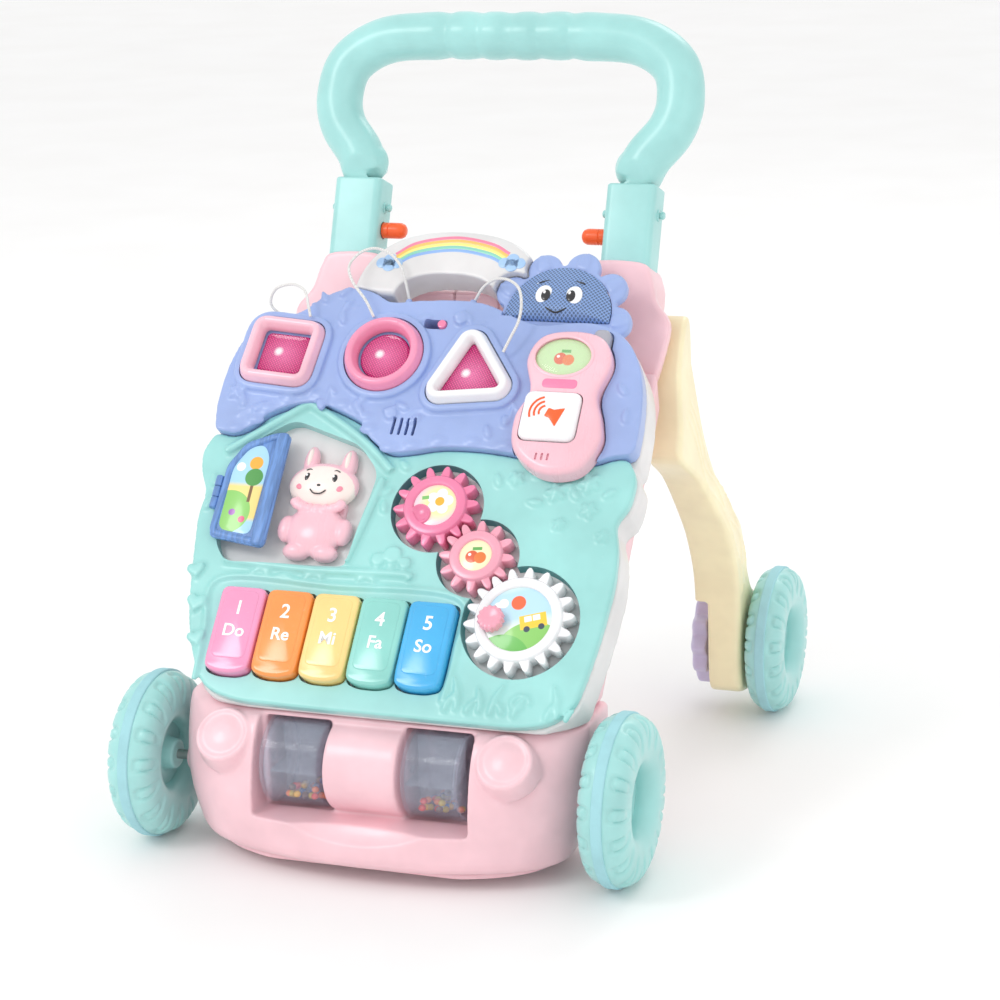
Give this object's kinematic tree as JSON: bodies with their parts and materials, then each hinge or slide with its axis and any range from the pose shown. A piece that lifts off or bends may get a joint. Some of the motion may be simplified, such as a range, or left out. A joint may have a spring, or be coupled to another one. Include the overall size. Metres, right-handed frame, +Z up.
{
  "type": "baby walker",
  "caption": "Push-along baby walker with a lift-off play panel of piano keys, gears, a door, a rabbit button, shape rings and a toy phone, rattle drums and a sliding handle.",
  "frame": {"origin": "middle of the footprint, on the floor", "axes": "+Z up, -Y the front with the play panel, +X the right side as seen from in front"},
  "size_m": [0.482, 0.55, 0.64],
  "materials": {
    "pink_plastic": "satin",
    "aqua_plastic": "satin",
    "mint_plastic": "satin",
    "blue_plastic": "satin",
    "cream_plastic": "satin",
    "lilac_plastic": "satin",
    "band_rubber": "matte",
    "orange_plastic": "satin",
    "axle_steel": "brushed",
    "clear_plastic": "clear",
    "grey_plastic": "satin",
    "lens_plastic": "textured clear",
    "white_plastic": "gloss",
    "rose_plastic": "gloss",
    "light_rose_plastic": "gloss",
    "pale_pink_plastic": "gloss",
    "board_green": "lacquered",
    "cord_white": "braided",
    "key_pink": "gloss",
    "key_orange": "gloss",
    "key_yellow": "gloss",
    "key_mint": "gloss",
    "key_blue": "gloss"
  },
  "bodies": {
    "frame": {"front_base": "pink_plastic", "base_cover": "pink_plastic", "crossbar": "pink_plastic", "side_frame_right": "pink_plastic", "side_frame_left": "pink_plastic", "rear_leg_right": "cream_plastic", "rear_leg_left": "cream_plastic", "front_axle_right": "axle_steel", "front_axle_left": "axle_steel", "rear_axle_right": "axle_steel", "rear_axle_left": "axle_steel", "handle_sleeve_right": "aqua_plastic", "handle_sleeve_left": "aqua_plastic"},
    "front_wheel_right": {"wheel_front_right": "aqua_plastic", "tread_band_front_right": "band_rubber"},
    "rear_wheel_right": {"wheel_rear_right": "aqua_plastic", "tread_band_rear_right": "band_rubber"},
    "drum_right": {"rattle_drum_right": "clear_plastic", "rattle_drum_cap_right": "clear_plastic"},
    "knob_right": {"speed_knob_right": "lilac_plastic"},
    "front_wheel_left": {"wheel_front_left": "aqua_plastic", "tread_band_front_left": "band_rubber"},
    "rear_wheel_left": {"wheel_rear_left": "aqua_plastic", "tread_band_rear_left": "band_rubber"},
    "drum_left": {"rattle_drum_left": "clear_plastic", "rattle_drum_cap_left": "clear_plastic"},
    "knob_left": {"speed_knob_left": "lilac_plastic"},
    "handle": {"push_handle": "aqua_plastic"},
    "button_right": {"handle_button_right": "orange_plastic"},
    "button_left": {"handle_button_left": "orange_plastic"},
    "panel": {"panel_shell": "grey_plastic", "battery_cover": "grey_plastic", "sound_board": "board_green", "lower_fascia": "mint_plastic", "upper_fascia": "blue_plastic", "carry_handle": "grey_plastic", "speaker_grille": "blue_plastic", "light_lens_square": "lens_plastic", "light_lens_round": "lens_plastic", "light_lens_triangle": "lens_plastic", "tether_cord_square": "cord_white", "tether_cord_round": "cord_white", "tether_cord_triangle": "cord_white"},
    "ring_square": {"shape_ring_square": "pale_pink_plastic"},
    "ring_round": {"shape_ring_round": "rose_plastic"},
    "ring_triangle": {"shape_ring_triangle": "white_plastic"},
    "switch": {"mode_switch": "rose_plastic"},
    "rabbit": {"rabbit_button": "pale_pink_plastic"},
    "door": {"door": "blue_plastic"},
    "key_1": {"piano_key_1": "key_pink"},
    "key_2": {"piano_key_2": "key_orange"},
    "key_3": {"piano_key_3": "key_yellow"},
    "key_4": {"piano_key_4": "key_mint"},
    "key_5": {"piano_key_5": "key_blue"},
    "gear_wheel_white": {"gear_white": "white_plastic", "gear_knob": "rose_plastic"},
    "gear_wheel_pink": {"gear_pink": "rose_plastic"},
    "gear_wheel_light": {"gear_light": "light_rose_plastic"},
    "phone": {"phone_body": "pale_pink_plastic"},
    "phone_key": {"phone_button": "white_plastic"}
  },
  "joints": [
    {"name": "front_wheel_right_spin", "type": "hinge", "parent": "frame", "child": "front_wheel_right", "pos_m": [0.201, -0.205, 0.07], "axis": [1, 0, 0], "continuous": true},
    {"name": "rear_wheel_right_spin", "type": "hinge", "parent": "frame", "child": "rear_wheel_right", "pos_m": [0.223, 0.208, 0.067], "axis": [1, 0, 0], "continuous": true},
    {"name": "drum_right_spin", "type": "hinge", "parent": "frame", "child": "drum_right", "pos_m": [0.06, -0.223, 0.085], "axis": [1, 0, 0], "continuous": true},
    {"name": "knob_right_turn", "type": "hinge", "parent": "frame", "child": "knob_right", "pos_m": [0.16, 0.208, 0.067], "axis": [1, 0, 0], "continuous": true},
    {"name": "front_wheel_left_spin", "type": "hinge", "parent": "frame", "child": "front_wheel_left", "pos_m": [-0.201, -0.205, 0.07], "axis": [1, 0, 0], "continuous": true},
    {"name": "rear_wheel_left_spin", "type": "hinge", "parent": "frame", "child": "rear_wheel_left", "pos_m": [-0.223, 0.208, 0.067], "axis": [1, 0, 0], "continuous": true},
    {"name": "drum_left_spin", "type": "hinge", "parent": "frame", "child": "drum_left", "pos_m": [-0.06, -0.223, 0.085], "axis": [1, 0, 0], "continuous": true},
    {"name": "knob_left_turn", "type": "hinge", "parent": "frame", "child": "knob_left", "pos_m": [-0.16, 0.208, 0.067], "axis": [1, 0, 0], "continuous": true},
    {"name": "handle_height", "type": "slide", "parent": "frame", "child": "handle", "axis": [0, 0.3746, 0.9272], "range_m": [0, 0.045]},
    {"name": "handle_button_right_press", "type": "slide", "parent": "frame", "child": "button_right", "axis": [1, 0, 0], "range_m": [0, 0.003], "stiffness_N_per_m": 400, "springref_m": -0.002},
    {"name": "handle_button_left_press", "type": "slide", "parent": "frame", "child": "button_left", "axis": [-1, 0, 0], "range_m": [0, 0.003], "stiffness_N_per_m": 400, "springref_m": -0.002},
    {"name": "panel_lift_off", "type": "slide", "parent": "frame", "child": "panel", "axis": [0, -0.7431, 0.6691], "range_m": [0, 0.06]},
    {"name": "ring_square_lift_off", "type": "slide", "parent": "panel", "child": "ring_square", "axis": [0, -0.7431, 0.6691], "range_m": [0, 0.03]},
    {"name": "ring_round_lift_off", "type": "slide", "parent": "panel", "child": "ring_round", "axis": [0, -0.7431, 0.6691], "range_m": [0, 0.03]},
    {"name": "ring_triangle_lift_off", "type": "slide", "parent": "panel", "child": "ring_triangle", "axis": [0, -0.7431, 0.6691], "range_m": [0, 0.03]},
    {"name": "mode_switch_slide", "type": "slide", "parent": "panel", "child": "switch", "axis": [1, 0, 0], "range_m": [-0.012, 0]},
    {"name": "rabbit_press", "type": "slide", "parent": "panel", "child": "rabbit", "axis": [0, 0.7431, -0.6691], "range_m": [0, 0.003], "stiffness_N_per_m": 900, "springref_m": -0.004},
    {"name": "door_swing", "type": "hinge", "parent": "panel", "child": "door", "pos_m": [-0.173, -0.12383, 0.2743], "axis": [0, -0.6691, -0.7431], "range_deg": [0, 110]},
    {"name": "key_1_press", "type": "hinge", "parent": "panel", "child": "key_1", "pos_m": [-0.1242, -0.16938, 0.20429], "axis": [1, 0, 0], "range_deg": [0, 3.5], "stiffness_Nm_per_rad": 1.5, "springref_deg": -2.86},
    {"name": "key_2_press", "type": "hinge", "parent": "panel", "child": "key_2", "pos_m": [-0.083, -0.16938, 0.20429], "axis": [1, 0, 0], "range_deg": [0, 3.5], "stiffness_Nm_per_rad": 1.5, "springref_deg": -2.86},
    {"name": "key_3_press", "type": "hinge", "parent": "panel", "child": "key_3", "pos_m": [-0.0418, -0.16938, 0.20429], "axis": [1, 0, 0], "range_deg": [0, 3.5], "stiffness_Nm_per_rad": 1.5, "springref_deg": -2.86},
    {"name": "key_4_press", "type": "hinge", "parent": "panel", "child": "key_4", "pos_m": [-0.0006, -0.16938, 0.20429], "axis": [1, 0, 0], "range_deg": [0, 3.5], "stiffness_Nm_per_rad": 1.5, "springref_deg": -2.86},
    {"name": "key_5_press", "type": "hinge", "parent": "panel", "child": "key_5", "pos_m": [0.0406, -0.16938, 0.20429], "axis": [1, 0, 0], "range_deg": [0, 3.5], "stiffness_Nm_per_rad": 1.5, "springref_deg": -2.86},
    {"name": "gear_white_turn", "type": "hinge", "parent": "panel", "child": "gear_wheel_white", "pos_m": [0.11272, -0.18211, 0.2021], "axis": [0, -0.7431, 0.6691], "continuous": true},
    {"name": "gear_pink_turn", "type": "hinge", "parent": "panel", "child": "gear_wheel_pink", "pos_m": [0.022, -0.11945, 0.2717], "axis": [0, -0.7431, 0.6691], "continuous": true},
    {"name": "gear_light_turn", "type": "hinge", "parent": "panel", "child": "gear_wheel_light", "pos_m": [0.06594, -0.14735, 0.24071], "axis": [0, -0.7431, 0.6691], "continuous": true},
    {"name": "phone_lift_off", "type": "slide", "parent": "panel", "child": "phone", "axis": [0, -0.7431, 0.6691], "range_m": [0, 0.05]},
    {"name": "phone_button_press", "type": "slide", "parent": "phone", "child": "phone_key", "axis": [0, 0.7431, -0.6691], "range_m": [0, 0.003], "stiffness_N_per_m": 400, "springref_m": -0.003}
  ],
  "couplings": [
    {"joint": "gear_light_turn", "follows": "gear_white_turn", "ratio": -1.5},
    {"joint": "gear_pink_turn", "follows": "gear_white_turn", "ratio": 1.2857}
  ]
}
